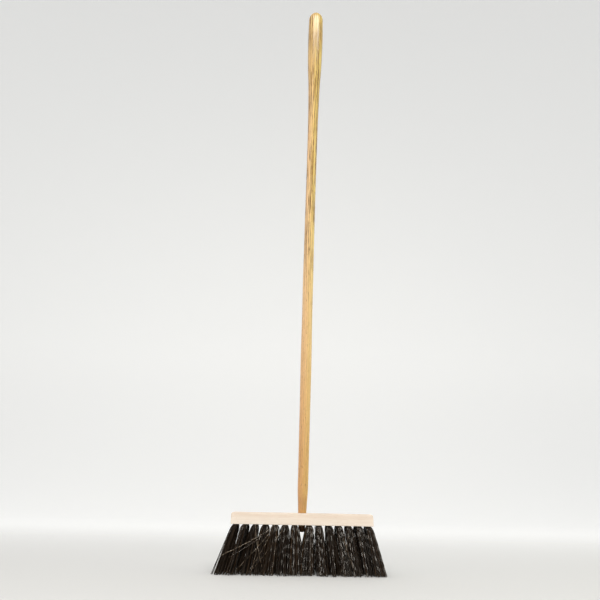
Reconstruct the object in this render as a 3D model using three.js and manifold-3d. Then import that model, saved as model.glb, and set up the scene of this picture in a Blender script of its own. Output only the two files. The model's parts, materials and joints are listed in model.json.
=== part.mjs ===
// A wooden push broom: a drilled block, the tufts of bristle set in it, and a turned handle wedged in it.
// Millimetres, +Z up. X runs along the block, and the handle leans towards -Y, where the sweeper stands.
// The tips of the tufts lie in the plane Z = 0, and the origin is there, under the middle of the broom.
import * as THREE from "three";
import { mergeVertices } from "three/addons/utils/BufferGeometryUtils.js";
import Module from "manifold-3d";

const wasm = await Module();
wasm.setup();

// The block, 14 in long. Its ends have eased upper corners, and a small round runs along its long edges.
const BLOCK_LENGTH = 356;
const BLOCK_DEPTH = 60;
const BLOCK_THICKNESS = 27;
const UPPER_CORNER_RADIUS = 4.5;
const LOWER_CORNER_RADIUS = 1.5;
const LONG_EDGE_ROUND = 1.4;
const ROUND_STEPS = 3;

// The tufts, in 4 rows of 14. They fan out from the holes in the underside to the trimmed tips.
const TRIM = 106; // from the underside to the plane of the tips
const COLUMNS_PER_SIDE = 7;
const COLUMN_SPACING = 24.8;
const FIRST_COLUMN = 18; // half of the wider gap in the middle, which the handle's end comes through
const ROWS = [-22.5, -7.5, 7.5, 22.5];
const FAN_ALONG = 1.16; // how much wider the tufts stand at their tips than at their roots, along the block
const FAN_ACROSS = 1.866; // the same, across the block
const ROOT_RADIUS = 4.5;
const TIP_RADIUS = 13.3;
const TUFT_SIDES = 12;
const TUFT_END_GAP = 0.5; // between a tuft's folded end and the bottom of its hole

// The holes, blind and drilled along the lean of each tuft.
const HOLE_RADIUS = 5.1;
const HOLE_DEPTH = 17;

// The handle, 54 in long, turned, with a swollen grip at the top and a taper at the lower end.
const HANDLE_LENGTH = 1372;
const HANDLE_TILT = THREE.MathUtils.degToRad(21); // from the block's normal
const HANDLE_SIDES = 32;
const TAPER_LENGTH = 100;
const TIP_BELOW_BLOCK = 16; // how far the tapered end stands out under the block, along the handle
const TIP_ROUND = 3;
const SOCKET_GAP = 0.35;
const PROFILE_POINTS = 34; // on the handle's spline
const DOME_STEPS = 6;

// The handle's diameter at each distance from its top end.
const HANDLE_DIAMETERS = [
  [20, 37.4],
  [70, 39.2],
  [110, 38.8],
  [154, 36.4],
  [198, 31.4],
  [243, 28.8],
  [300, 26.9],
  [380, 26.0],
  [560, 26.2],
  [740, 27.5],
  [815, 27.0],
  [930, 28.6],
  [1070, 27.6],
  [1180, 27.2],
  [HANDLE_LENGTH - TAPER_LENGTH, 27.2],
];
const TAPER_DIAMETERS = [
  [HANDLE_LENGTH - 76, 24.0],
  [HANDLE_LENGTH - 46, 21.4],
  [HANDLE_LENGTH - TIP_ROUND, 16.4],
];

const OVERSHOOT = 20; // how far a cutting shape runs past what it cuts
const UP = new THREE.Vector3(0, 1, 0); // the axis that lathe and cylinder geometries are made on

const materials = {
  block: new THREE.MeshStandardMaterial({ color: 0xe8d5bb, roughness: 0.75, metalness: 0 }),
  handle: new THREE.MeshStandardMaterial({ color: 0xd8b27c, roughness: 0.35, metalness: 0 }),
  bristle: new THREE.MeshStandardMaterial({ color: 0x2b2119, roughness: 0.35, metalness: 0 }),
};

const UNDERSIDE = TRIM;
const TOP_FACE = TRIM + BLOCK_THICKNESS;
// Measured along the handle.
const TIP_TO_BLOCK_MIDDLE = BLOCK_THICKNESS / 2 / Math.cos(HANDLE_TILT) + TIP_BELOW_BLOCK;

// A closed geometry as a solid that can be joined and cut.
function solidOf(geometry) {
  const bare = geometry.clone();
  bare.deleteAttribute("normal");
  bare.deleteAttribute("uv");
  const merged = mergeVertices(bare, 1e-4);
  return new wasm.Manifold(
    new wasm.Mesh({
      numProp: 3,
      vertProperties: new Float32Array(merged.attributes.position.array),
      triVerts: new Uint32Array(merged.index.array),
    }),
  );
}

// A solid back as a geometry, with flat faces.
function geometryOf(solid) {
  const mesh = solid.getMesh();
  const indexed = new THREE.BufferGeometry();
  indexed.setAttribute("position", new THREE.BufferAttribute(mesh.vertProperties, 3));
  indexed.setIndex(new THREE.BufferAttribute(mesh.triVerts, 1));
  const flat = indexed.toNonIndexed();
  flat.computeVertexNormals();
  return flat;
}

// Turns a geometry made on UP to a direction, and moves it to a place.
function aim(geometry, direction, place) {
  geometry.applyQuaternion(new THREE.Quaternion().setFromUnitVectors(UP, direction));
  return geometry.translate(place.x, place.y, place.z);
}

// Tufts

// Where a tuft's axis meets the underside, and which way it runs from its tip up into the block.
function tuftAxis(x, y) {
  const root = new THREE.Vector3(x, y, UNDERSIDE);
  const tip = new THREE.Vector3(x * FAN_ALONG, y * FAN_ACROSS, 0);
  return { root, upward: root.clone().sub(tip).normalize() };
}

function tuftGeometry(x, y) {
  const { root, upward } = tuftAxis(x, y);
  const inHole = HOLE_DEPTH - TUFT_END_GAP;
  const below = TRIM / upward.z + OVERSHOOT;
  const radiusPerLength = ((TIP_RADIUS - ROOT_RADIUS) * upward.z) / TRIM;
  const cone = new THREE.CylinderGeometry(
    ROOT_RADIUS - inHole * radiusPerLength,
    ROOT_RADIUS + below * radiusPerLength,
    inHole + below,
    TUFT_SIDES,
  );
  aim(cone, upward, root.clone().addScaledVector(upward, (inHole - below) / 2));
  const trimmer = new THREE.BoxGeometry(2 * BLOCK_LENGTH, 4 * BLOCK_DEPTH, 2 * TRIM).translate(0, 0, TRIM);
  const trimmed = geometryOf(solidOf(cone).intersect(solidOf(trimmer)));
  return trimmed.translate(-root.x, -root.y, -root.z);
}

function columnPositions() {
  const right = Array.from({ length: COLUMNS_PER_SIDE }, (_, i) => FIRST_COLUMN + i * COLUMN_SPACING);
  const left = right.map((x) => -x).reverse();
  return [...left, ...right];
}

function makeTufts() {
  const group = new THREE.Group();
  ROWS.forEach((y, row) => {
    columnPositions().forEach((x, column) => {
      const tuft = new THREE.Mesh(tuftGeometry(x, y), materials.bristle);
      tuft.name = `tuft_row${row + 1}_${String(column + 1).padStart(2, "0")}`;
      tuft.position.set(x, y, UNDERSIDE);
      group.add(tuft);
    });
  });
  return group;
}

// Handle

// The handle's profile as points of radius and height, from the middle of its tip to the middle of its top,
// with height 0 at the tip.
function handleProfile() {
  const tipRadius = TAPER_DIAMETERS.at(-1)[1] / 2;
  const profile = [new THREE.Vector2(0, 0), new THREE.Vector2(tipRadius - TIP_ROUND, 0)];
  const at = ([distance, diameter]) => new THREE.Vector2(diameter / 2, HANDLE_LENGTH - distance);
  profile.push(...TAPER_DIAMETERS.map(at).reverse());
  profile.push(...new THREE.SplineCurve(HANDLE_DIAMETERS.map(at).reverse()).getPoints(PROFILE_POINTS));
  const domeBase = profile.at(-1);
  const domeHeight = HANDLE_LENGTH - domeBase.y;
  for (let i = 1; i <= DOME_STEPS; i++) {
    const turn = (Math.PI / 2) * (i / DOME_STEPS);
    const radius = i === DOME_STEPS ? 0 : domeBase.x * Math.cos(turn);
    profile.push(new THREE.Vector2(radius, domeBase.y + domeHeight * Math.sin(turn)));
  }
  return profile;
}

// The handle's own group stands on the middle of the block, turned to its tilt, its tip below the block.
function makeHandle() {
  const group = new THREE.Group();
  group.position.set(0, 0, (UNDERSIDE + TOP_FACE) / 2);
  group.rotation.x = HANDLE_TILT;
  const handle = new THREE.Mesh(new THREE.LatheGeometry(handleProfile(), HANDLE_SIDES), materials.handle);
  handle.name = "handle";
  handle.geometry.rotateX(Math.PI / 2);
  handle.position.z = -TIP_TO_BLOCK_MIDDLE;
  group.add(handle);
  return group;
}

// Block

// The space of the handle's taper and a gap all round it, in the block's frame.
function socketCutter() {
  const wall = TAPER_DIAMETERS.map(
    ([distance, diameter]) => new THREE.Vector2(diameter / 2 + SOCKET_GAP, HANDLE_LENGTH - distance),
  ).reverse();
  const lowEnd = wall[0].y - OVERSHOOT;
  const highEnd = wall.at(-1).y;
  const profile = [
    new THREE.Vector2(0, lowEnd),
    new THREE.Vector2(wall[0].x, lowEnd),
    ...wall,
    new THREE.Vector2(0, highEnd),
  ];
  const cutter = new THREE.LatheGeometry(profile, HANDLE_SIDES).rotateX(Math.PI / 2);
  cutter.translate(0, 0, -TIP_TO_BLOCK_MIDDLE);
  return cutter.rotateX(HANDLE_TILT);
}

// A tuft hole in the block's frame, where the block's middle is the origin.
function holeCutter(x, y) {
  const { root, upward } = tuftAxis(x, y);
  const length = HOLE_DEPTH + OVERSHOOT;
  const hole = new THREE.CylinderGeometry(HOLE_RADIUS, HOLE_RADIUS, length, TUFT_SIDES);
  const middle = root.clone().addScaledVector(upward, HOLE_DEPTH - length / 2);
  middle.z -= (UNDERSIDE + TOP_FACE) / 2;
  return aim(hole, upward, middle);
}

function blockOutline() {
  const x = BLOCK_LENGTH / 2;
  const z = BLOCK_THICKNESS / 2;
  const upper = UPPER_CORNER_RADIUS;
  const lower = LOWER_CORNER_RADIUS;
  const outline = new THREE.Shape();
  outline.moveTo(-x + lower, -z);
  outline.lineTo(x - lower, -z);
  outline.absarc(x - lower, -z + lower, lower, -Math.PI / 2, 0);
  outline.lineTo(x, z - upper);
  outline.absarc(x - upper, z - upper, upper, 0, Math.PI / 2);
  outline.lineTo(-x + upper, z);
  outline.absarc(-x + upper, z - upper, upper, Math.PI / 2, Math.PI);
  outline.lineTo(-x, -z + lower);
  outline.absarc(-x + lower, -z + lower, lower, Math.PI, 1.5 * Math.PI);
  return outline;
}

function makeBlock() {
  const blank = new THREE.ExtrudeGeometry(blockOutline(), {
    depth: BLOCK_DEPTH - 2 * LONG_EDGE_ROUND,
    bevelThickness: LONG_EDGE_ROUND,
    bevelSize: LONG_EDGE_ROUND,
    bevelOffset: -LONG_EDGE_ROUND,
    bevelSegments: ROUND_STEPS,
    curveSegments: ROUND_STEPS,
  });
  blank.translate(0, 0, LONG_EDGE_ROUND - BLOCK_DEPTH / 2).rotateX(Math.PI / 2);
  let solid = solidOf(blank).subtract(solidOf(socketCutter()));
  for (const y of ROWS) {
    for (const x of columnPositions()) {
      solid = solid.subtract(solidOf(holeCutter(x, y)));
    }
  }
  const block = new THREE.Mesh(geometryOf(solid), materials.block);
  block.name = "block";
  block.position.z = (UNDERSIDE + TOP_FACE) / 2;
  return block;
}

// The head is built round the Z axis. The whole broom then moves so that its box is centred on the origin.
const broom = new THREE.Group();
broom.add(makeBlock(), makeTufts(), makeHandle());
const middle = new THREE.Box3().setFromObject(broom, true).getCenter(new THREE.Vector3());
broom.children.forEach((child) => {
  child.position.x -= middle.x;
  child.position.y -= middle.y;
});

export default broom;
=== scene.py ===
"""The looks of a wooden push broom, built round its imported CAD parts. Metres, +Z up, X along the block.

Pieces: the drilled block, the turned handle, one bundle of crimped bristles for each CAD tuft, the wire
staples that hold the bundles in their holes, and a few bristles that have sprung out of place.
"""

import json
import math

import bpy
import numpy as np
from mathutils import Matrix, Vector

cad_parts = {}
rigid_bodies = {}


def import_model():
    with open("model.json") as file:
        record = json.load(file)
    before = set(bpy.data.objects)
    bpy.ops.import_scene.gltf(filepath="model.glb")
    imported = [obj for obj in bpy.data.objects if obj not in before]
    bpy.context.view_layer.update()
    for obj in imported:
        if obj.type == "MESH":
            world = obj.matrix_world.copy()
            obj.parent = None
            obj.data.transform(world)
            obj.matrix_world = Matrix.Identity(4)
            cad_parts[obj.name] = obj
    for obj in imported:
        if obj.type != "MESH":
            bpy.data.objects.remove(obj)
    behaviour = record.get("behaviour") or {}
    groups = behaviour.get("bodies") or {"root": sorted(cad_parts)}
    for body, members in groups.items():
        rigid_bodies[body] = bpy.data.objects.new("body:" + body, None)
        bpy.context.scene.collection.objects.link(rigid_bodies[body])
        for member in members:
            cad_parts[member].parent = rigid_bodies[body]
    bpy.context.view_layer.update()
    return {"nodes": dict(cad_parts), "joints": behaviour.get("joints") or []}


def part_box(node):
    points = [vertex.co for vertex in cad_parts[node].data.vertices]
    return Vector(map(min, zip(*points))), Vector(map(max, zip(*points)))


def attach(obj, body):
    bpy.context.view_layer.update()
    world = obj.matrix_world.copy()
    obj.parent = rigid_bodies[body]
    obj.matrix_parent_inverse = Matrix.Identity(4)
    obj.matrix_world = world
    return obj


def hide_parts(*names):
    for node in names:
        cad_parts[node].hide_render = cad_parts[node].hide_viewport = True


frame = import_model()

MM = 0.001
RNG = np.random.default_rng(41)

# Places that the CAD parts give.
BLOCK_LOW, BLOCK_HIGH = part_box("block")
BLOCK_MIDDLE = (BLOCK_LOW + BLOCK_HIGH) / 2
UNDERSIDE = BLOCK_LOW.z
TUFTS = sorted(name for name in frame["nodes"] if name.startswith("tuft_"))
SLIDE = frame["joints"][0]
HANDLE_AXIS = Vector(SLIDE["axis"]).normalized()


# ---------------------------------------------------------------- helpers

def link(obj):
    bpy.context.scene.collection.objects.link(obj)
    return obj


def mesh_object(name, vertices, faces, smooth=True):
    mesh = bpy.data.meshes.new(name)
    mesh.from_pydata(vertices, [], faces)
    mesh.update()
    if smooth:
        mesh.polygons.foreach_set("use_smooth", [True] * len(mesh.polygons))
    return link(bpy.data.objects.new(name, mesh))


def unit(vectors):
    """Each row of an array of vectors, at length 1."""
    return vectors / np.linalg.norm(vectors, axis=-1, keepdims=True)


def tubes(paths, reference, radius, sides):
    """Vertices and faces of round closed tubes along equally long paths, an array of tubes by points by XYZ.

    reference is a vector for each tube that no stretch of it runs along. radius is one number for each tube.
    """
    count, steps, _ = paths.shape
    tangents = unit(np.gradient(paths, axis=1))
    along = (reference[:, None, :] * tangents).sum(-1, keepdims=True)
    normals = unit(reference[:, None, :] - along * tangents)
    binormals = np.cross(tangents, normals)
    turns = 2 * math.pi * np.arange(sides) / sides
    across = (
        np.cos(turns)[None, None, :, None] * normals[:, :, None, :]
        + np.sin(turns)[None, None, :, None] * binormals[:, :, None, :]
    )
    vertices = paths[:, :, None, :] + across * radius[:, None, None, None]
    ring = np.arange(sides)
    first = np.arange(count)[:, None, None] * (steps * sides)
    low = first + np.arange(steps - 1)[None, :, None] * sides + ring
    low_next = first + np.arange(steps - 1)[None, :, None] * sides + (ring + 1) % sides
    quads = np.stack([low, low_next, low_next + sides, low + sides], axis=-1).reshape(-1, 4)
    start = (first[:, 0] + ring[::-1]).reshape(count, sides)
    end = (first[:, 0] + (steps - 1) * sides + ring).reshape(count, sides)
    return vertices.reshape(-1, 3), quads.tolist() + start.tolist() + end.tolist()


# ---------------------------------------------------------------- shader building

# Which sockets of a Mix node carry colours, and which carry single numbers.
MIX_COLOUR_A, MIX_COLOUR_B, MIX_COLOUR_RESULT = 6, 7, 2
MIX_FACTOR, MIX_NUMBER_A, MIX_NUMBER_B, MIX_NUMBER_RESULT = 0, 2, 3, 0


class Nodes:
    """A material's node tree with a principled shader, and short ways to add and join nodes."""

    def __init__(self, name):
        self.material = bpy.data.materials.new(name)
        self.material.use_nodes = True
        self.tree = self.material.node_tree
        self.shader = self.tree.nodes["Principled BSDF"]

    def add(self, kind, **values):
        node = self.tree.nodes.new(kind)
        for key, value in values.items():
            setattr(node, key, value)
        return node

    def join(self, output, target):
        self.tree.links.new(output, target)

    def set(self, target, value):
        if isinstance(value, bpy.types.NodeSocket):
            self.join(value, target)
        else:
            target.default_value = value

    def coordinates(self, scale=(1, 1, 1), location=(0, 0, 0)):
        place = self.add("ShaderNodeTexCoord")
        mapping = self.add("ShaderNodeMapping")
        self.join(place.outputs["Object"], mapping.inputs["Vector"])
        mapping.inputs["Scale"].default_value = scale
        mapping.inputs["Location"].default_value = location
        return mapping.outputs["Vector"]

    def noise(self, vector, detail=3.0, roughness=0.5):
        node = self.add("ShaderNodeTexNoise")
        self.join(vector, node.inputs["Vector"])
        node.inputs["Scale"].default_value = 1.0
        node.inputs["Detail"].default_value = detail
        node.inputs["Roughness"].default_value = roughness
        return node.outputs["Fac"]

    def math(self, operation, first, second=0.0):
        node = self.add("ShaderNodeMath", operation=operation)
        self.set(node.inputs[0], first)
        self.set(node.inputs[1], second)
        return node.outputs["Value"]

    def span(self, value, low, high, to_low=0.0, to_high=1.0):
        """value from low to high, spread from to_low to to_high with soft ends."""
        node = self.add("ShaderNodeMapRange", interpolation_type="SMOOTHSTEP")
        self.set(node.inputs["Value"], value)
        node.inputs["From Min"].default_value = low
        node.inputs["From Max"].default_value = high
        node.inputs["To Min"].default_value = to_low
        node.inputs["To Max"].default_value = to_high
        return node.outputs["Result"]

    def blend(self, factor, first, second):
        """The colour first where factor is 0, and second where it is 1."""
        node = self.add("ShaderNodeMix", data_type="RGBA")
        self.set(node.inputs["Factor"], factor)
        self.set(node.inputs[MIX_COLOUR_A], first)
        self.set(node.inputs[MIX_COLOUR_B], second)
        return node.outputs[MIX_COLOUR_RESULT]

    def split(self, vector):
        node = self.add("ShaderNodeSeparateXYZ")
        self.join(vector, node.inputs[0])
        return node.outputs

    def ramp(self, value, *stops):
        node = self.add("ShaderNodeValToRGB")
        self.join(value, node.inputs["Fac"])
        elements = node.color_ramp.elements
        while len(elements) < len(stops):
            elements.new(0.5)
        for element, (position, colour) in zip(elements, stops):
            element.position = position
            element.color = colour
        return node.outputs["Color"]

    def bump(self, height, strength, distance, below=None):
        node = self.add("ShaderNodeBump")
        self.join(height, node.inputs["Height"])
        node.inputs["Strength"].default_value = strength
        node.inputs["Distance"].default_value = distance
        if below is not None:
            self.join(below, node.inputs["Normal"])
        return node.outputs["Normal"]


def srgb(red, green, blue):
    """A colour given as it shows on a screen, 0 to 255, as the linear colour that a shader takes."""
    def linear(value):
        value /= 255
        return value / 12.92 if value <= 0.04045 else ((value + 0.055) / 1.055) ** 2.4
    return (linear(red), linear(green), linear(blue), 1.0)


# ---------------------------------------------------------------- materials

def handle_wood(length):
    """Lacquered ash: growth rings cut lengthwise and dark open pores, stronger towards the grip.

    Z runs up the handle from its lower end.
    """
    n = Nodes("handle_wood")
    x, y, z = n.split(n.coordinates())
    up = n.math("DIVIDE", z, length)

    # Growth rings round a pith that lies outside the handle and wanders along it.
    wander = n.noise(n.coordinates(scale=(3, 3, 1.9)), detail=1)
    off_x = n.math("SUBTRACT", x, n.math("ADD", n.math("MULTIPLY", wander, 0.030), 0.012))
    off_y = n.math("ADD", y, n.math("MULTIPLY", wander, 0.036))
    square = n.math("ADD", n.math("MULTIPLY", off_x, off_x), n.math("MULTIPLY", off_y, off_y))
    ragged = n.noise(n.coordinates(scale=(300, 300, 12)), detail=3)
    rings_out = n.math("MULTIPLY", n.math("SQRT", square), 190.0)
    ring = n.math("FRACT", n.math("ADD", rings_out, n.math("MULTIPLY", ragged, 0.9)))
    early = n.math("MULTIPLY", n.span(ring, 0.0, 0.25), n.span(ring, 0.35, 0.80, 1.0, 0.0))

    # Open pores: short dark dashes along the grain, in the early wood, with a few specks everywhere.
    dashes = n.noise(n.coordinates(scale=(620, 620, 58)), detail=2, roughness=0.6)
    fine = n.noise(n.coordinates(scale=(2400, 2400, 90)), detail=2)
    streaks = n.noise(n.coordinates(scale=(250, 250, 11), location=(5, 0, 0)), detail=3, roughness=0.6)
    clusters = n.math("MULTIPLY", n.span(streaks, 0.48, 0.60), n.span(up, 0.40, 0.62, 0.12, 1.0))
    pores = n.math("MULTIPLY", n.span(dashes, 0.45, 0.57), early)
    pores = n.math("MULTIPLY", pores, n.span(streaks, 0.42, 0.56, 0.25, 1.0))
    pores = n.math("MULTIPLY", pores, n.span(up, 0.40, 0.66, 0.18, 1.0))
    specks = n.noise(n.coordinates(scale=(480, 480, 70), location=(0, 7, 0)), detail=1)
    pores = n.math("MAXIMUM", pores, n.span(specks, 0.68, 0.74, 0.0, 0.6))
    early = n.math("MULTIPLY", early, n.span(up, 0.36, 0.70, 0.22, 1.0))

    broad = n.noise(n.coordinates(scale=(36, 36, 2.4)), detail=2)
    base = n.ramp(broad, (0.30, srgb(234, 196, 140)), (0.72, srgb(248, 219, 170)))
    low_tone = n.blend(n.span(up, 0.08, 0.46, 0.95, 0.0), base, srgb(224, 168, 100))
    # Pinker towards -X and yellower towards +X across the handle: painted light, the colours of lamps on its
    # two sides, laid over a wood tone that turns yellower towards the grip.
    pinkish = n.blend(0.32, low_tone, srgb(216, 160, 118))
    yellowish = n.blend(n.span(up, 0.35, 0.70, 0.32, 0.80), low_tone, srgb(216, 194, 92))
    painted_side_light = n.blend(n.span(x, -0.012, 0.012), pinkish, yellowish)
    gripped = n.blend(n.span(up, 0.72, 0.95, 0.0, 0.55), painted_side_light, srgb(190, 164, 92))
    ringed = n.blend(n.math("MULTIPLY", early, 0.56), gripped, srgb(168, 126, 64))
    clustered = n.blend(n.math("MULTIPLY", clusters, 0.60), ringed, srgb(130, 98, 46))
    grained = n.blend(n.math("MULTIPLY", pores, 0.95), clustered, srgb(88, 60, 28))
    fleck = n.blend(n.span(fine, 0.50, 0.72, 0.0, 0.30), grained, srgb(150, 104, 56))

    # The tapered end is bare wood, darkened by glue and dirt, and the grip is a little greyer in patches
    # towards the top.
    bare = n.span(up, 0.018, 0.034, 1.0, 0.0)
    patchy = n.noise(n.coordinates(scale=(160, 160, 60)), detail=3)
    stain = n.ramp(patchy, (0.3, srgb(62, 38, 22)), (0.75, srgb(108, 70, 42)))
    dark_end = n.blend(bare, fleck, stain)
    # Painted shade: from where the handle narrows into its taper down to its end, the wood is made a little
    # darker.
    taper = n.math("MULTIPLY", n.span(up, 0.060, 0.072, 1.0, 0.0), 0.25)
    shaded = n.blend(taper, dark_end, srgb(170, 114, 64))
    smudge = n.noise(n.coordinates(scale=(30, 30, 12), location=(3, 1, 0)), detail=4, roughness=0.65)
    greyer_top = n.math("MULTIPLY", n.span(smudge, 0.42, 0.72), n.span(up, 0.75, 0.95, 0.06, 0.42))
    n.join(n.blend(greyer_top, shaded, srgb(140, 108, 68)), n.shader.inputs["Base Color"])

    worn = n.noise(n.coordinates(scale=(70, 70, 14)), detail=3)
    lacquer = n.span(worn, 0.35, 0.75, 0.22, 0.38)
    n.join(n.math("MAXIMUM", lacquer, n.math("MULTIPLY", bare, 0.75)), n.shader.inputs["Roughness"])
    n.shader.inputs["Coat Weight"].default_value = 0.3
    n.shader.inputs["Coat Roughness"].default_value = 0.11
    n.shader.inputs["IOR"].default_value = 1.5
    relief = n.math("ADD", n.math("MULTIPLY", pores, -0.8), n.math("MULTIPLY", fine, 0.15))
    turned = n.noise(n.coordinates(scale=(6, 6, 120)), detail=1)
    lathe = n.bump(turned, 0.25, 0.0004)
    n.join(n.bump(relief, 0.55, 0.0003, lathe), n.shader.inputs["Normal"])
    return n.material


def block_wood():
    """Raw, planed, pale wood with faint grain along X, specks of ray, and darker patches on the faces that
    point down, towards the tufts.
    """
    n = Nodes("block_wood")
    _, y, z = n.split(n.coordinates())
    wave = n.noise(n.coordinates(scale=(2.2, 14, 14)), detail=2)
    bands = n.math("ADD", n.math("MULTIPLY", z, 260.0), n.math("MULTIPLY", wave, 5.0))
    bands = n.math("ADD", bands, n.math("MULTIPLY", y, 120.0))
    ring = n.math("SINE", bands)
    faint = n.span(ring, 0.2, 1.0)
    fibre = n.noise(n.coordinates(scale=(26, 1500, 1500)), detail=3, roughness=0.6)
    cloud = n.noise(n.coordinates(scale=(9, 30, 30)), detail=3)
    base = n.ramp(cloud, (0.30, srgb(229, 214, 198)), (0.70, srgb(239, 228, 214)))
    banded = n.blend(n.math("MULTIPLY", faint, 0.28), base, srgb(216, 192, 168))
    fibred = n.blend(n.span(fibre, 0.50, 0.70, 0.0, 0.32), banded, srgb(202, 174, 144))
    rays = n.noise(n.coordinates(scale=(150, 900, 900), location=(2, 0, 0)), detail=1)
    rayed = n.blend(n.span(rays, 0.66, 0.74, 0.0, 0.30), fibred, srgb(200, 164, 126))

    # End grain drinks more dirt and shows its pores as dots.
    geometry = n.add("ShaderNodeNewGeometry")
    normal_x, _, normal_z = n.split(geometry.outputs["Normal"])
    ends = n.span(n.math("ABSOLUTE", normal_x), 0.80, 0.97)
    dots = n.noise(n.coordinates(scale=(300, 1300, 1300)), detail=1)
    end_tone = n.ramp(dots, (0.40, srgb(196, 164, 126)), (0.60, srgb(226, 200, 166)))
    ended = n.blend(n.math("MULTIPLY", ends, 0.7), rayed, end_tone)
    blotches = n.noise(n.coordinates(scale=(60, 60, 60), location=(0, 4, 0)), detail=4, roughness=0.7)
    # The faces that point down are made darker in patches.
    under = n.math("MULTIPLY", n.span(normal_z, -0.98, -0.6, 1.0, 0.0), n.span(blotches, 0.35, 0.65, 0.15, 0.6))
    darker_below = n.blend(under, ended, srgb(150, 122, 96))
    handled = n.math("MULTIPLY", n.span(blotches, 0.58, 0.78), 0.10)
    n.join(n.blend(handled, darker_below, srgb(190, 160, 128)), n.shader.inputs["Base Color"])

    n.join(n.span(fibre, 0.3, 0.7, 0.62, 0.82), n.shader.inputs["Roughness"])
    n.shader.inputs["Specular IOR Level"].default_value = 0.35
    chatter = n.noise(n.coordinates(scale=(160, 8, 8)), detail=1)
    planed = n.bump(chatter, 0.18, 0.0003)
    n.join(n.bump(fibre, 0.35, 0.00025, planed), n.shader.inputs["Normal"])
    return n.material


def bristle_fibre(name, specular, smoothest, roughest):
    """Near-black brown polymer, a little different from strand to strand and dusty near the tips; the palest
    shade, which the stray strands get, is a painted highlight.
    """
    n = Nodes(name)
    strand = n.add("ShaderNodeAttribute", attribute_name="strand").outputs["Fac"]
    along = n.noise(n.coordinates(scale=(420, 420, 60)), detail=2)
    tone = n.math("ADD", n.math("MULTIPLY", strand, 0.80), n.math("MULTIPLY", along, 0.20))
    # The palest stop is a painted highlight: the light that the stray strands catch. The other stops are the
    # strands' own browns.
    fibre = n.ramp(
        tone,
        (0.10, srgb(11, 6, 2)),
        (0.45, srgb(27, 16, 5)),
        (0.72, srgb(48, 31, 12)),
        (0.86, srgb(74, 54, 32)),
        (0.98, srgb(176, 163, 144)),
    )
    _, _, z = n.split(n.coordinates())
    blotches = n.noise(n.coordinates(scale=(500, 500, 160), location=(1, 2, 0)), detail=3, roughness=0.7)
    low = n.span(z, 0.003, 0.016, 0.30, 0.0)
    dusty = n.blend(n.math("MULTIPLY", low, n.span(blotches, 0.4, 0.7)), fibre, srgb(112, 100, 86))
    n.join(dusty, n.shader.inputs["Base Color"])
    n.join(n.span(blotches, 0.3, 0.7, smoothest, roughest), n.shader.inputs["Roughness"])
    n.shader.inputs["IOR"].default_value = 1.53
    n.shader.inputs["Specular IOR Level"].default_value = specular
    n.shader.inputs["Specular Tint"].default_value = (1.0, 0.95, 0.88, 1.0)
    streaks = n.noise(n.coordinates(scale=(3000, 3000, 200)), detail=1)
    n.join(n.bump(streaks, 0.25, 0.0001), n.shader.inputs["Normal"])
    return n.material


def staple_wire():
    """Drawn steel wire, dulled unevenly."""
    n = Nodes("staple_wire")
    spots = n.noise(n.coordinates(scale=(900, 900, 900)), detail=3)
    steel = n.ramp(spots, (0.3, srgb(120, 112, 100)), (0.7, srgb(190, 186, 178)))
    n.join(steel, n.shader.inputs["Base Color"])
    n.join(n.span(spots, 0.3, 0.7, 0.30, 0.55), n.shader.inputs["Roughness"])
    n.shader.inputs["Metallic"].default_value = 1.0
    n.join(n.bump(spots, 0.2, 0.0001), n.shader.inputs["Normal"])
    return n.material


def plain_ground():
    """The pale floor and backdrop, which glow a little away from the broom, as if lit evenly there too."""
    n = Nodes("ground")
    x, y, _ = n.split(n.coordinates())
    n.shader.inputs["Base Color"].default_value = srgb(216, 216, 214)
    n.shader.inputs["Roughness"].default_value = 0.85
    n.shader.inputs["Specular IOR Level"].default_value = 0.15
    n.shader.inputs["Emission Color"].default_value = (1.0, 1.0, 0.99, 1.0)
    distance = n.math("SQRT", n.math("ADD", n.math("MULTIPLY", x, x), n.math("MULTIPLY", y, y)))
    around = n.span(distance, 1.6, 5.0, 0.0, 0.40)
    behind = n.span(y, -0.2, 2.4, 0.0, 0.44)
    n.join(n.math("MAXIMUM", behind, around), n.shader.inputs["Emission Strength"])
    return n.material


# ---------------------------------------------------------------- handle

HANDLE_SIDES = 72
HANDLE_RING_STEP = 4 * MM
BOW = 1.6 * MM  # how far the pole is out of straight, between its grip and its taper
BOW_FROM, BOW_TO = 0.10, 0.90  # the share of the length, from the lower end, where the bow begins and ends
OUT_OF_ROUND = 0.0035  # share of the radius
ROUND_BELOW = 75 * MM  # the tapered end stays round up to here, to fit its socket
ROUND_FADE = 60 * MM
TIP_ROUND = 3.2 * MM
TIP_RINGS = 6
TIP_STRAIGHT = 16 * MM  # below this the CAD profile is kept without easing
DOME_RINGS = 14
DOME_BASE = -8  # the CAD ring, from the last, where the dome begins
EASING_RINGS = 13


def cad_handle_profile():
    """The foot of the CAD handle's axis, its length, and the heights and radii of the rings of its mesh."""
    points = np.array([v.co for v in frame["nodes"]["handle"].data.vertices], float)
    axis = np.array(HANDLE_AXIS)
    on_axis = np.array([0.0, BLOCK_MIDDLE.y, BLOCK_MIDDLE.z])
    heights = (points - on_axis) @ axis
    foot = on_axis + axis * heights.min()
    radii = np.linalg.norm(points - on_axis - heights[:, None] * axis, axis=1)
    heights = heights - heights.min()
    rings = {}
    for height, radius in zip(np.round(heights, 5), radii):
        rings[height] = max(rings.get(height, 0.0), radius)
    ordered = sorted(rings.items())
    return Vector(foot), ordered[-1][0], [h for h, _ in ordered], [r for _, r in ordered]


def smooth_profile(heights, radii, wanted):
    """Radii at the wanted heights, through the CAD rings, eased so that no ring shows as a corner."""
    base = np.interp(wanted, heights, radii)
    kernel = np.hanning(EASING_RINGS)
    kernel /= kernel.sum()
    padded = np.pad(base, EASING_RINGS // 2, mode="edge")
    return np.convolve(padded, kernel, mode="valid")


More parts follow.
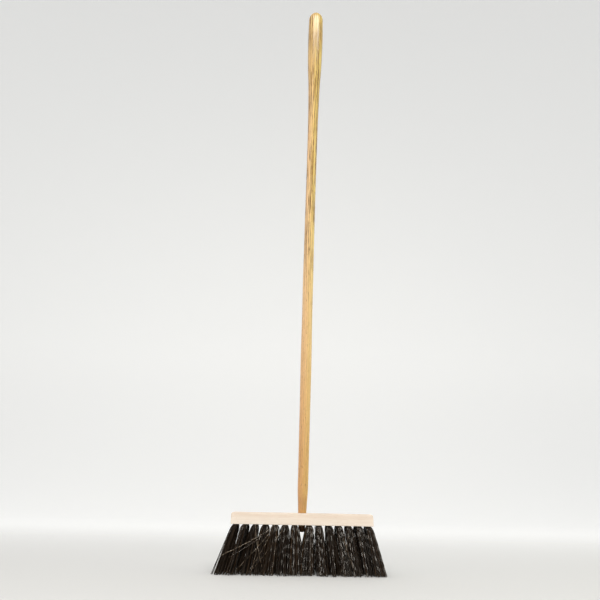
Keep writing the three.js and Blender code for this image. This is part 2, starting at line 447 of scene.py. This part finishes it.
def handle_rings():
    """The foot of the handle's axis, its length, and its rings' heights and radii from the tip up."""
    foot, length, heights, radii = cad_handle_profile()
    shaft = np.arange(TIP_ROUND, length - radii[DOME_BASE], HANDLE_RING_STEP)
    shaft_radii = smooth_profile(heights, radii, shaft)
    tip = shaft < TIP_STRAIGHT
    shaft_radii[tip] = np.interp(shaft[tip], heights, radii)

    ring_heights, ring_radii = [], []
    for turn in np.linspace(0, math.pi / 2, TIP_RINGS)[1:-1]:
        ring_heights.append(TIP_ROUND * (1 - math.cos(turn)))
        ring_radii.append(shaft_radii[0] - TIP_ROUND * (1 - math.sin(turn)))
    ring_heights.extend(shaft)
    ring_radii.extend(shaft_radii)
    dome_radius, dome_base = ring_radii[-1], ring_heights[-1]
    dome_height = length - dome_base
    for turn in np.linspace(0, math.pi / 2, DOME_RINGS)[1:-1]:
        ring_heights.append(dome_base + dome_height * math.sin(turn))
        ring_radii.append(dome_radius * math.cos(turn))
    return foot, length, ring_heights, ring_radii


def make_handle():
    foot, length, ring_heights, ring_radii = handle_rings()
    vertices, faces = [], []
    turns = 2 * math.pi * np.arange(HANDLE_SIDES) / HANDLE_SIDES
    for height, radius in zip(ring_heights, ring_radii):
        share = np.clip((height / length - BOW_FROM) / (BOW_TO - BOW_FROM), 0, 1)
        bow = -BOW * math.sin(math.pi * share) ** 2
        free = np.clip((height - ROUND_BELOW) / ROUND_FADE, 0, 1)
        oval = np.sin(2 * turns + 5 * height)
        three_sided = 0.6 * np.sin(3 * turns - 11 * height)
        swell = 0.8 * math.sin(33 * height)
        wobble = 1 + free * OUT_OF_ROUND * (oval + three_sided + swell)
        for turn, stretched in zip(turns, radius * wobble):
            vertices.append((bow + stretched * math.cos(turn), stretched * math.sin(turn), height))
    rings = len(ring_heights)
    for ring in range(rings - 1):
        for side in range(HANDLE_SIDES):
            a = ring * HANDLE_SIDES + side
            b = ring * HANDLE_SIDES + (side + 1) % HANDLE_SIDES
            faces.append((a, b, b + HANDLE_SIDES, a + HANDLE_SIDES))
    bottom, top = len(vertices), len(vertices) + 1
    vertices += [(0, 0, 0), (0, 0, length)]
    last = (rings - 1) * HANDLE_SIDES
    for side in range(HANDLE_SIDES):
        after = (side + 1) % HANDLE_SIDES
        faces.append((bottom, after, side))
        faces.append((top, last + side, last + after))

    handle = mesh_object("turned_handle", vertices, faces)
    turn = Vector((0, 0, 1)).rotation_difference(HANDLE_AXIS)
    handle.matrix_world = Matrix.Translation(foot) @ turn.to_matrix().to_4x4()
    handle.data.materials.append(handle_wood(length))
    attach(handle, SLIDE["child"])
    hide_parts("handle")
    return handle


# ---------------------------------------------------------------- where the tufts stand

class Tuft:
    """A CAD tuft's place: where its axis leaves the block, and how far it leans for each metre down."""

    def __init__(self, name):
        self.name = name
        points = np.array([v.co for v in frame["nodes"][name].data.vertices], float)
        half = points[:, 2].max() / 2
        upper = points[points[:, 2] > half]
        lower = points[points[:, 2] <= half]
        top, tip = upper.mean(0), lower.mean(0)
        self.lean = (tip[:2] - top[:2]) / (top[2] - tip[2])
        self.root = np.array([*(top[:2] + self.lean * (top[2] - UNDERSIDE)), UNDERSIDE])
        self.bottom = points[:, 2].max() - UNDERSIDE
        self.down = unit(np.array([*self.lean, -1.0]))
        row, column = name.removeprefix("tuft_row").split("_")
        self.row, self.column = int(row), int(column)


# ---------------------------------------------------------------- block

HOLE_RADIUS = 4.9 * MM
HOLE_SIDES = 28
HOLE_BELL = 0.7 * MM  # the mouth of a drilled hole is worn wider by this much
HOLE_SPARE = 0.4 * MM  # how far a hole goes on past its CAD tuft
DRILL_POINT = 1.6 * MM  # the height of the cone at the bottom of a hole
EDGE_ROUND = 1.5 * MM
UPPER_END_ROUND = 4.5 * MM
END_ROUND_STEPS = 6
EDGE_ROUND_STEPS = 4
SOCKET_SIDES = 64
SOCKET_GAP = 0.3 * MM
SOCKET_WALL = np.linspace(4 * MM, 76 * MM, 25)  # heights above the handle's foot
SMOOTH_ANGLE = math.radians(32)


def rounded_outline():
    """The block's outline seen from its long face: X and Z round its middle, corners as arcs."""
    half_x = (BLOCK_HIGH.x - BLOCK_LOW.x) / 2
    half_z = (BLOCK_HIGH.z - BLOCK_LOW.z) / 2
    corners = [
        (half_x, -half_z, EDGE_ROUND, -90),
        (half_x, half_z, UPPER_END_ROUND, 0),
        (-half_x, half_z, UPPER_END_ROUND, 90),
        (-half_x, -half_z, EDGE_ROUND, 180),
    ]
    outline = []
    for x, z, radius, start in corners:
        centre_x = x - math.copysign(radius, x)
        centre_z = z - math.copysign(radius, z)
        for step in range(END_ROUND_STEPS + 1):
            turn = math.radians(start + 90 * step / END_ROUND_STEPS)
            outline.append((centre_x + radius * math.cos(turn), centre_z + radius * math.sin(turn)))
    return outline


def block_blank():
    """The block before it is drilled: layers of its outline, drawn in at the long edges to round them."""
    outline = rounded_outline()
    half_x = (BLOCK_HIGH.x - BLOCK_LOW.x) / 2
    half_z = (BLOCK_HIGH.z - BLOCK_LOW.z) / 2
    layers = []
    for step in range(EDGE_ROUND_STEPS + 1):
        turn = math.pi / 2 * step / EDGE_ROUND_STEPS
        inset = EDGE_ROUND * (1 - math.cos(turn))
        layers.append((BLOCK_LOW.y + EDGE_ROUND * (1 - math.sin(turn)), inset))
    mirrored = [(BLOCK_LOW.y + BLOCK_HIGH.y - y, inset) for y, inset in layers]
    vertices, faces = [], []
    for y, inset in sorted(layers + mirrored):
        for x, z in outline:
            vertices.append((
                BLOCK_MIDDLE.x + x * (1 - inset / half_x),
                y,
                BLOCK_MIDDLE.z + z * (1 - inset / half_z),
            ))
    count = len(outline)
    rings = len(vertices) // count
    for ring in range(rings - 1):
        for i in range(count):
            a = ring * count + i
            b = ring * count + (i + 1) % count
            faces.append((a, a + count, b + count, b))
    faces.append(tuple(range(count)))
    faces.append(tuple(reversed(range((rings - 1) * count, rings * count))))
    return mesh_object("drilled_block", vertices, faces, smooth=False)


def revolved(stations, sides, origin, direction):
    """Vertices and faces of a closed round solid: (distance along direction, radius) for each ring."""
    w = Vector(direction).normalized()
    u = w.orthogonal().normalized()
    v = w.cross(u)
    vertices, faces = [], []
    for distance, radius in stations:
        for i in range(sides):
            turn = 2 * math.pi * i / sides
            point = Vector(origin) + w * distance + (u * math.cos(turn) + v * math.sin(turn)) * radius
            vertices.append(tuple(point))
    for ring in range(len(stations) - 1):
        for i in range(sides):
            a = ring * sides + i
            b = ring * sides + (i + 1) % sides
            faces.append((a, b, b + sides, a + sides))
    faces.append(tuple(reversed(range(sides))))
    faces.append(tuple(range((len(stations) - 1) * sides, len(stations) * sides)))
    return vertices, faces


def add_to(all_vertices, all_faces, vertices, faces):
    offset = len(all_vertices)
    all_vertices.extend(vertices)
    all_faces.extend(tuple(i + offset for i in face) for face in faces)


def hole_and_socket_cutter(tufts):
    vertices, faces = [], []
    for tuft in tufts:
        depth = tuft.bottom / -tuft.down[2] + HOLE_SPARE
        stations = [
            (-6 * MM, HOLE_RADIUS + HOLE_BELL),
            (-0.2 * MM, HOLE_RADIUS + HOLE_BELL),
            (HOLE_BELL, HOLE_RADIUS),
            (depth - DRILL_POINT, HOLE_RADIUS),
            (depth, 0.6 * MM),
        ]
        add_to(vertices, faces, *revolved(stations, HOLE_SIDES, tuft.root, -tuft.down))
    foot, _, heights, radii = cad_handle_profile()
    wall = [(h, float(np.interp(h, heights, radii)) + SOCKET_GAP) for h in SOCKET_WALL]
    stations = [(-8 * MM, wall[0][1]), *wall]
    add_to(vertices, faces, *revolved(stations, SOCKET_SIDES, foot, HANDLE_AXIS))
    return mesh_object("cutter", vertices, faces, smooth=False)


def make_block(tufts):
    block = block_blank()
    cutter = hole_and_socket_cutter(tufts)
    cut = block.modifiers.new("drilling", "BOOLEAN")
    cut.operation = "DIFFERENCE"
    cut.solver = "EXACT"
    cut.object = cutter
    bpy.context.view_layer.update()
    depsgraph = bpy.context.evaluated_depsgraph_get()
    drilled = bpy.data.meshes.new_from_object(block.evaluated_get(depsgraph))
    block.modifiers.clear()
    block.data = drilled
    bpy.data.objects.remove(cutter)
    drilled.materials.clear()
    drilled.materials.append(block_wood())
    drilled.polygons.foreach_set("use_smooth", [True] * len(drilled.polygons))
    drilled.set_sharp_from_angle(angle=SMOOTH_ANGLE)
    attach(block, SLIDE["parent"])
    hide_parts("block")
    return block


# ---------------------------------------------------------------- bristles

STRAND_RADIUS = 0.66 * MM
STRAND_SIDES = 5
FOLDED_STRANDS = 23  # in each tuft: each is folded over the staple, so it shows as two
LOCKS = 5  # groups of neighbouring strands on each side of the staple, which keep together
MOUTH_RADIUS = 4.1 * MM
STAPLE_DEPTH = 11.3 * MM
FOLD_TURNS = [30, 60, 90, 120, 150]  # degrees round the half circle over the staple
CRIMP_LENGTH = 22 * MM
CRIMP_HEIGHT = 0.85 * MM
POINT_STEP = 1.7 * MM
COLUMNS = 14
TUFT_SHADES = (0.42, 0.9)  # the middle and the palest of the strands' shades, from 0 to 1
# The strays' pale shade is a painted highlight, for the light that these loose strands catch.
STRAY_SHADES_PAINTED_GLINT = (1.1, 1.0)

# How far the tips of a column's tufts have been pushed along X by use: outwards at the left end, inwards at
# the right one, and into the middle gap.
SWAY_ALONG = {1: -4 * MM, 2: -3 * MM, 7: 5 * MM, 8: -5 * MM, 14: -2.5 * MM}
GAP_SIDE = {7: 1, 8: -1}  # the side of the two middle columns that faces the gap: strands spread more there
LOOSENED = 0.55  # how much more they spread there

# How things change from column to column: how full the tufts are, how strongly crimped, and the share of
# their strands that is glossy.
FULLNESS = ([1, 2, 4, 6, 7, 8, 9, 13, COLUMNS], [1.0, 1.1, 1.25, 1.15, 1.0, 1.0, 1.1, 1.12, 1.0])
CRIMPED = ([1, 5, 7, COLUMNS], [0.35, 0.55, 1.0, 1.0])
GLOSSY = ([1, 5, 7, COLUMNS], [0.2, 0.25, 0.5, 0.6])
END_COLUMNS_LOOSE = 0.35  # how disordered the end columns are, beside the others

# A tuft springs open by OPENS_BY, most of it within OPENS_OVER, and widens evenly at SPREAD_RATE.
OPENS_BY = 4.9 * MM
OPENS_OVER = 4.0 * MM
SPREAD_RATE = 0.066


def bundle_radius(depth):
    """How wide a tuft is at a depth below the underside: it springs open, then spreads evenly."""
    outside = np.maximum(depth, 0)
    opening = 1 - np.exp(-outside / OPENS_OVER)
    return MOUTH_RADIUS + OPENS_BY * opening + SPREAD_RATE * outside


def half_disc(count, radius):
    """Points spread evenly over the half of a disc with positive Y, a little disordered."""
    golden = math.pi * (3 - math.sqrt(5))
    total = np.arange(2 * count + 8)
    distance = radius * np.sqrt((total + 0.5) / len(total))
    points = np.stack([distance * np.cos(total * golden), distance * np.sin(total * golden)], axis=1)
    points = points[points[:, 1] > 0.10 * radius][:count]
    while len(points) < count:
        points = np.vstack([points, points[: count - len(points)] * 0.8])
    return points + RNG.normal(0, 0.12 * MM, points.shape)


def zigzag(angle):
    """The crimp of a strand: straight runs between rounded bends."""
    return np.sin(angle) - np.sin(3 * angle) / 9


def lock_habits(column, count):
    """What the strands of a lock share: how they crimp, and which way they drift."""
    crimped = np.interp(column, *CRIMPED)
    loose = END_COLUMNS_LOOSE if column in (1, COLUMNS) else 1.0
    return {
        "phase": RNG.uniform(0, 2 * math.pi, count),
        "plane": math.pi / 2 + RNG.normal(0, 0.4, count),
        "length": CRIMP_LENGTH * RNG.normal(1, 0.15, count),
        "height": CRIMP_HEIGHT * crimped * RNG.uniform(0.6, 1.5, count),
        "drift": RNG.normal(0, 2.8 * loose * MM, (count, 2)),
        "spread": RNG.normal(1, 0.14 * loose, count),
    }


def strand_ends(tuft, sway, points, end_heights):
    """One side of every strand from the staple down to its trimmed tip: strands by points by XYZ."""
    count = len(points)
    centres = points[RNG.choice(count, LOCKS, replace=False)]
    lock = np.linalg.norm(points[:, None] - centres[None], axis=2).argmin(1)
    habits = lock_habits(tuft.column, LOCKS)
    steps = int(round((STAPLE_DEPTH + UNDERSIDE) / POINT_STEP))
    share = np.linspace(0, 1, steps + 1)
    depth = -STAPLE_DEPTH + share[None, :] * (UNDERSIDE - end_heights[:, None] + STAPLE_DEPTH)
    outside = np.maximum(depth, 0)
    grown = outside / UNDERSIDE

    fullness = np.interp(tuft.column, *FULLNESS)
    spread = fullness * habits["spread"][lock][:, None] * RNG.normal(1.03, 0.09, count)[:, None]
    scale = 1 + (bundle_radius(depth) / MOUTH_RADIUS - 1) * spread
    outward = points[:, None, :] * scale[:, :, None]
    gap_side = GAP_SIDE.get(tuft.column, 0)
    facing_gap = outward[:, :, 0] * gap_side > 0
    loosened = outward[:, :, 0] * (1 + LOOSENED * np.clip(outside / (40 * MM), 0, 1))
    outward[:, :, 0] = np.where(facing_gap, loosened, outward[:, :, 0])
    drift = sway + habits["drift"][lock] + RNG.normal(0, 1.0 * MM, (count, 2))
    drifted = drift[:, None, :] * (grown ** 1.25)[:, :, None]
    bend = RNG.normal(0, 0.9 * MM, (count, 2))
    bent = bend[:, None, :] * np.sin(math.pi * grown)[:, :, None]

    rise = np.clip(outside / (9 * MM), 0, 1)
    phase = habits["phase"][lock] + RNG.normal(0, 0.75, count)
    angle = 2 * math.pi * depth / habits["length"][lock][:, None] + phase[:, None]
    plane = habits["plane"][lock] + RNG.normal(0, 0.20, count)
    wave = habits["height"][lock][:, None] * rise * zigzag(angle)

    paths = np.empty((count, steps + 1, 3))
    lean = tuft.lean[None, None, :] * depth[:, :, None]
    paths[:, :, :2] = tuft.root[None, None, :2] + lean + outward + drifted + bent
    paths[:, :, 0] += wave * np.cos(plane)[:, None]
    paths[:, :, 1] += wave * np.sin(plane)[:, None]
    paths[:, :, 2] = UNDERSIDE - depth
    return paths


def trimmed_heights(count):
    """How high above the floor each strand ends: nearly all at the trim, a few short."""
    heights = 0.35 * MM + np.abs(RNG.normal(0, 0.55 * MM, count))
    short = RNG.random(count) < 0.05
    heights[short] += RNG.uniform(1, 6, short.sum()) * MM
    return heights


def make_tuft(tuft, materials):
    """A bundle of strands, each folded over the staple and ending in two trimmed tips."""
    near = half_disc(FOLDED_STRANDS, MOUTH_RADIUS)
    far = near * np.array([1, -1])
    sway = RNG.normal(0, 1.8 * MM, 2)
    sway[0] += SWAY_ALONG.get(tuft.column, 0)
    first = strand_ends(tuft, sway, near, trimmed_heights(FOLDED_STRANDS))
    second = strand_ends(tuft, sway, far, trimmed_heights(FOLDED_STRANDS))

    # Over the staple, from one side to the other, as part of a circle in the plane of the tuft's axis and Y.
    half = (first[:, 0] - second[:, 0]) / 2
    middle = (first[:, 0] + second[:, 0]) / 2
    height = np.linalg.norm(half, axis=1)
    upward = -tuft.down
    turns = np.radians(FOLD_TURNS)
    fold = (
        middle[:, None, :]
        + half[:, None, :] * np.cos(turns)[None, :, None]
        + upward[None, None, :] * (height[:, None] * np.sin(turns)[None, :])[:, :, None]
    )
    paths = np.concatenate([first[:, ::-1], fold, second], axis=1)
    reference = np.tile(np.array([1.0, 0.0, 0.12]), (FOLDED_STRANDS, 1))
    radius = STRAND_RADIUS * RNG.normal(1, 0.07, FOLDED_STRANDS)
    vertices, faces = tubes(paths, reference, radius, STRAND_SIDES)
    piece = mesh_object("bristles_" + tuft.name.removeprefix("tuft_"), vertices, faces)
    finish_strands(piece, FOLDED_STRANDS, np.interp(tuft.column, *GLOSSY), materials, *TUFT_SHADES)
    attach(piece, SLIDE["parent"])
    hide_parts(tuft.name)
    return piece


def finish_strands(piece, count, glossy_share, materials, shade, palest):
    """Gives every strand of a piece a shade of its own, and one of two materials: dull or glossy.

    The faces are in the order that tubes() makes: every strand's sides, the first caps, the other caps.
    """
    shades = np.clip(RNG.normal(shade, 0.22, count), 0, palest)
    shade_of_vertex = np.repeat(shades, len(piece.data.vertices) // count)
    attribute = piece.data.attributes.new("strand", "FLOAT", "POINT")
    attribute.data.foreach_set("value", shade_of_vertex.astype(np.float32))
    for material in materials:
        piece.data.materials.append(material)
    glossy = (RNG.random(count) < glossy_share).astype(np.int32)
    caps = 2 * count
    sides = np.repeat(glossy, (len(piece.data.polygons) - caps) // count)
    piece.data.polygons.foreach_set("material_index", np.concatenate([sides, glossy, glossy]))


# Strands that have sprung out of their tufts: the column and row they come from, how far along X their tips
# end from their roots, how high above the floor, and how far along Y they stand out of their row, in mm.
STRAYS = [
    (5, 1, -125, 40, -24),
    (5, 1, -106, 36, -27),
    (5, 1, -92, 6, -22),
    (5, 1, -60, 3, -25),
    (6, 1, -74, 12, -20),
    (3, 1, 22, 18, -24),
    (9, 1, -20, 5, -22),
    (11, 1, 34, 6, -22),
    (12, 1, -26, 4, -20),
    (7, 4, 52, 8, 22),
    (11, 4, -70, 30, 24),
    (3, 4, 40, 5, 24),
]
STRAY_POINTS = 64
STRAY_SIDES = 6


def make_strays(tufts, materials):
    """Single strands that leave their holes on a curve: a few lie across the tufts on the sweeper's side."""
    by_place = {(tuft.column, tuft.row): tuft for tuft in tufts}
    share = np.linspace(0, 1, STRAY_POINTS)
    paths = []
    for column, row, sideways, end_height, out in STRAYS:
        tuft = by_place[column, row]
        start = tuft.root - tuft.down * 8 * MM
        leave = np.array([0.0, math.copysign(MOUTH_RADIUS * 0.6, out), 0.0])
        end = np.array([tuft.root[0] + sideways * MM, tuft.root[1] + out * MM, end_height * MM])
        below_mouth = tuft.root + tuft.down * 14 * MM
        below_mouth[1] += out * MM * 0.3
        bend = (
            ((1 - share) ** 2)[:, None] * (start + leave)
            + (2 * share * (1 - share))[:, None] * (below_mouth + leave)
            + (share ** 2)[:, None] * end
        )
        run = np.concatenate([[0], np.cumsum(np.linalg.norm(np.diff(bend, axis=0), axis=1))])
        angle = 2 * math.pi * run / CRIMP_LENGTH + RNG.uniform(0, 2 * math.pi)
        rise = np.clip((run - 14 * MM) / (10 * MM), 0, 1)
        side = unit(np.cross(end - start, [0.0, 1.0, 0.0]))
        wave = CRIMP_HEIGHT * 0.5 * rise * np.sin(angle)
        paths.append(bend + side[None, :] * wave[:, None])
    paths = np.array(paths)
    reference = np.tile(np.array([0.05, 1.0, 0.1]), (len(paths), 1))
    vertices, faces = tubes(paths, reference, np.full(len(paths), STRAND_RADIUS), STRAY_SIDES)
    piece = mesh_object("stray_bristles", vertices, faces)
    finish_strands(piece, len(paths), 1.0, materials, *STRAY_SHADES_PAINTED_GLINT)
    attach(piece, SLIDE["parent"])
    return piece


# ---------------------------------------------------------------- staples

WIRE_RADIUS = 0.5 * MM
STAPLE_HALF_WIDTH = 4.6 * MM
STAPLE_LEG = 3.2 * MM
STAPLE_CORNER = 0.9 * MM
WIRE_SIDES = 8


def make_staples(tufts):
    """A bent wire across the bottom of each hole, along X, with its two legs driven on into the wood."""
    paths = []
    for tuft in tufts:
        upward = -tuft.down
        centre = tuft.root + upward * STAPLE_DEPTH / upward[2]
        along = unit(np.array([1.0, 0.0, 0.0]) - upward[0] * upward)
        points = [
            along * STAPLE_HALF_WIDTH + upward * STAPLE_LEG,
            along * STAPLE_HALF_WIDTH + upward * STAPLE_CORNER,
            along * (STAPLE_HALF_WIDTH - STAPLE_CORNER * 0.3) + upward * STAPLE_CORNER * 0.3,
            along * (STAPLE_HALF_WIDTH - STAPLE_CORNER),
        ]
        mirrored = [p - 2 * (p @ along) * along for p in reversed(points)]
        paths.append([centre + p for p in points + mirrored])
    paths = np.array(paths)
    reference = np.tile(np.array([0.0, 1.0, 0.05]), (len(paths), 1))
    vertices, faces = tubes(paths, reference, np.full(len(paths), WIRE_RADIUS), WIRE_SIDES)
    piece = mesh_object("tuft_staples", vertices, faces)
    piece.data.materials.append(staple_wire())
    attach(piece, SLIDE["parent"])
    return piece


# ---------------------------------------------------------------- floor, lights and camera

def make_ground():
    """A pale floor that curves up into a tall backdrop a good way behind the broom."""
    near, bend, far, top, half_width = -25.0, 3.0, 5.0, 16.0, 40.0
    profile = [(near, 0.0)]
    for step in range(17):
        turn = math.pi / 2 * step / 16
        profile.append((bend + (far - bend) * math.sin(turn), (far - bend) * (1 - math.cos(turn))))
    profile.append((far, top))
    vertices = [(x, y, z) for y, z in profile for x in (-half_width, half_width)]
    faces = [(2 * i, 2 * i + 1, 2 * i + 3, 2 * i + 2) for i in range(len(profile) - 1)]
    ground = mesh_object("ground", vertices, faces)
    ground.data.materials.append(plain_ground())


# How bright the room's own light is: near the horizon and below, overhead, and where the camera looks at it.
ROOM_LOW, ROOM_OVERHEAD, ROOM_SEEN = 0.11, 0.6, 0.6


def area_light(name, place, aim, size, power, colour):
    data = bpy.data.lights.new(name, "AREA")
    data.shape = "RECTANGLE"
    data.size, data.size_y = size
    data.energy = power
    data.color = colour
    light = link(bpy.data.objects.new(name, data))
    light.location = place
    light.rotation_euler = (Vector(aim) - Vector(place)).to_track_quat("-Z", "Y").to_euler()


def make_lights():
    """Four soft lights, aimed at the head or at the middle of the handle."""
    head = Vector((0, 0.2, 0.08))
    pole = Vector((0, -0.05, 0.95))
    area_light("strip", (0.2, -2.2, 2.15), head, (3.0, 0.7), 70, (1.0, 0.985, 0.955))
    area_light("pole_strip", (-1.25, -2.7, 1.5), pole, (0.10, 2.0), 8, (1.0, 0.99, 0.97))
    area_light("left", (-2.6, -1.0, 1.3), pole, (1.2, 2.2), 12, (1.0, 0.88, 0.84))
    area_light("right", (2.6, -0.4, 1.3), pole, (1.2, 2.2), 12, (1.0, 0.97, 0.84))


def make_room():
    """The room's light: dim round the horizon, bright overhead. The camera sees a plain pale room."""
    world = bpy.data.worlds.new("soft_room")
    world.use_nodes = True
    tree = world.node_tree
    direction = tree.nodes.new("ShaderNodeTexCoord")
    parts = tree.nodes.new("ShaderNodeSeparateXYZ")
    level = tree.nodes.new("ShaderNodeMapRange")
    level.interpolation_type = "SMOOTHSTEP"
    level.inputs["From Min"].default_value = 0.25
    level.inputs["From Max"].default_value = 0.85
    level.inputs["To Min"].default_value = ROOM_LOW
    level.inputs["To Max"].default_value = ROOM_OVERHEAD
    tree.links.new(direction.outputs["Generated"], parts.inputs[0])
    tree.links.new(parts.outputs["Z"], level.inputs["Value"])
    seen = tree.nodes.new("ShaderNodeLightPath")
    strength = tree.nodes.new("ShaderNodeMix")
    tree.links.new(seen.outputs["Is Camera Ray"], strength.inputs[MIX_FACTOR])
    tree.links.new(level.outputs["Result"], strength.inputs[MIX_NUMBER_A])
    strength.inputs[MIX_NUMBER_B].default_value = ROOM_SEEN
    background = tree.nodes["Background"]
    background.inputs["Color"].default_value = (0.98, 0.99, 1.0, 1.0)
    tree.links.new(strength.outputs[MIX_NUMBER_RESULT], background.inputs["Strength"])
    bpy.context.scene.world = world


# The camera, from the middle of the head: it stands low, near the level of the block's top, and looks up.
CAMERA_FROM_HEAD = Vector((-0.0471, -1.2774, 0.1573))
CAMERA_YAW, CAMERA_PITCH, CAMERA_ROLL = math.radians(1.37), math.radians(24.24), math.radians(1.17)
LENS_MM = 27
SENSOR_MM = 36


def make_camera():
    data = bpy.data.cameras.new("camera")
    data.lens = LENS_MM
    data.sensor_width = SENSOR_MM
    data.clip_start, data.clip_end = 0.05, 50
    camera = link(bpy.data.objects.new("camera", data))
    forward = Vector((
        math.sin(CAMERA_YAW) * math.cos(CAMERA_PITCH),
        math.cos(CAMERA_YAW) * math.cos(CAMERA_PITCH),
        math.sin(CAMERA_PITCH),
    ))
    level = Vector((math.cos(CAMERA_YAW), -math.sin(CAMERA_YAW), 0))
    upright = level.cross(forward)
    right = level * math.cos(CAMERA_ROLL) + upright * math.sin(CAMERA_ROLL)
    up = upright * math.cos(CAMERA_ROLL) - level * math.sin(CAMERA_ROLL)
    turn = Matrix((right, up, -forward)).transposed().to_4x4()
    place = Vector((0, BLOCK_MIDDLE.y, 0)) + CAMERA_FROM_HEAD
    camera.matrix_world = Matrix.Translation(place) @ turn
    bpy.context.scene.camera = camera


# ---------------------------------------------------------------- the scene

tufts = [Tuft(name) for name in TUFTS]
make_camera()
make_lights()
make_room()
make_ground()
make_handle()
make_block(tufts)
fibres = [
    bristle_fibre("dull_bristle", specular=0.22, smoothest=0.28, roughest=0.42),
    bristle_fibre("glossy_bristle", specular=0.95, smoothest=0.10, roughest=0.17),
]
for tuft in tufts:
    make_tuft(tuft, fibres)
make_strays(tufts, fibres)
make_staples(tufts)

scene = bpy.context.scene
scene.view_settings.view_transform = "Standard"
scene.view_settings.look = "None"
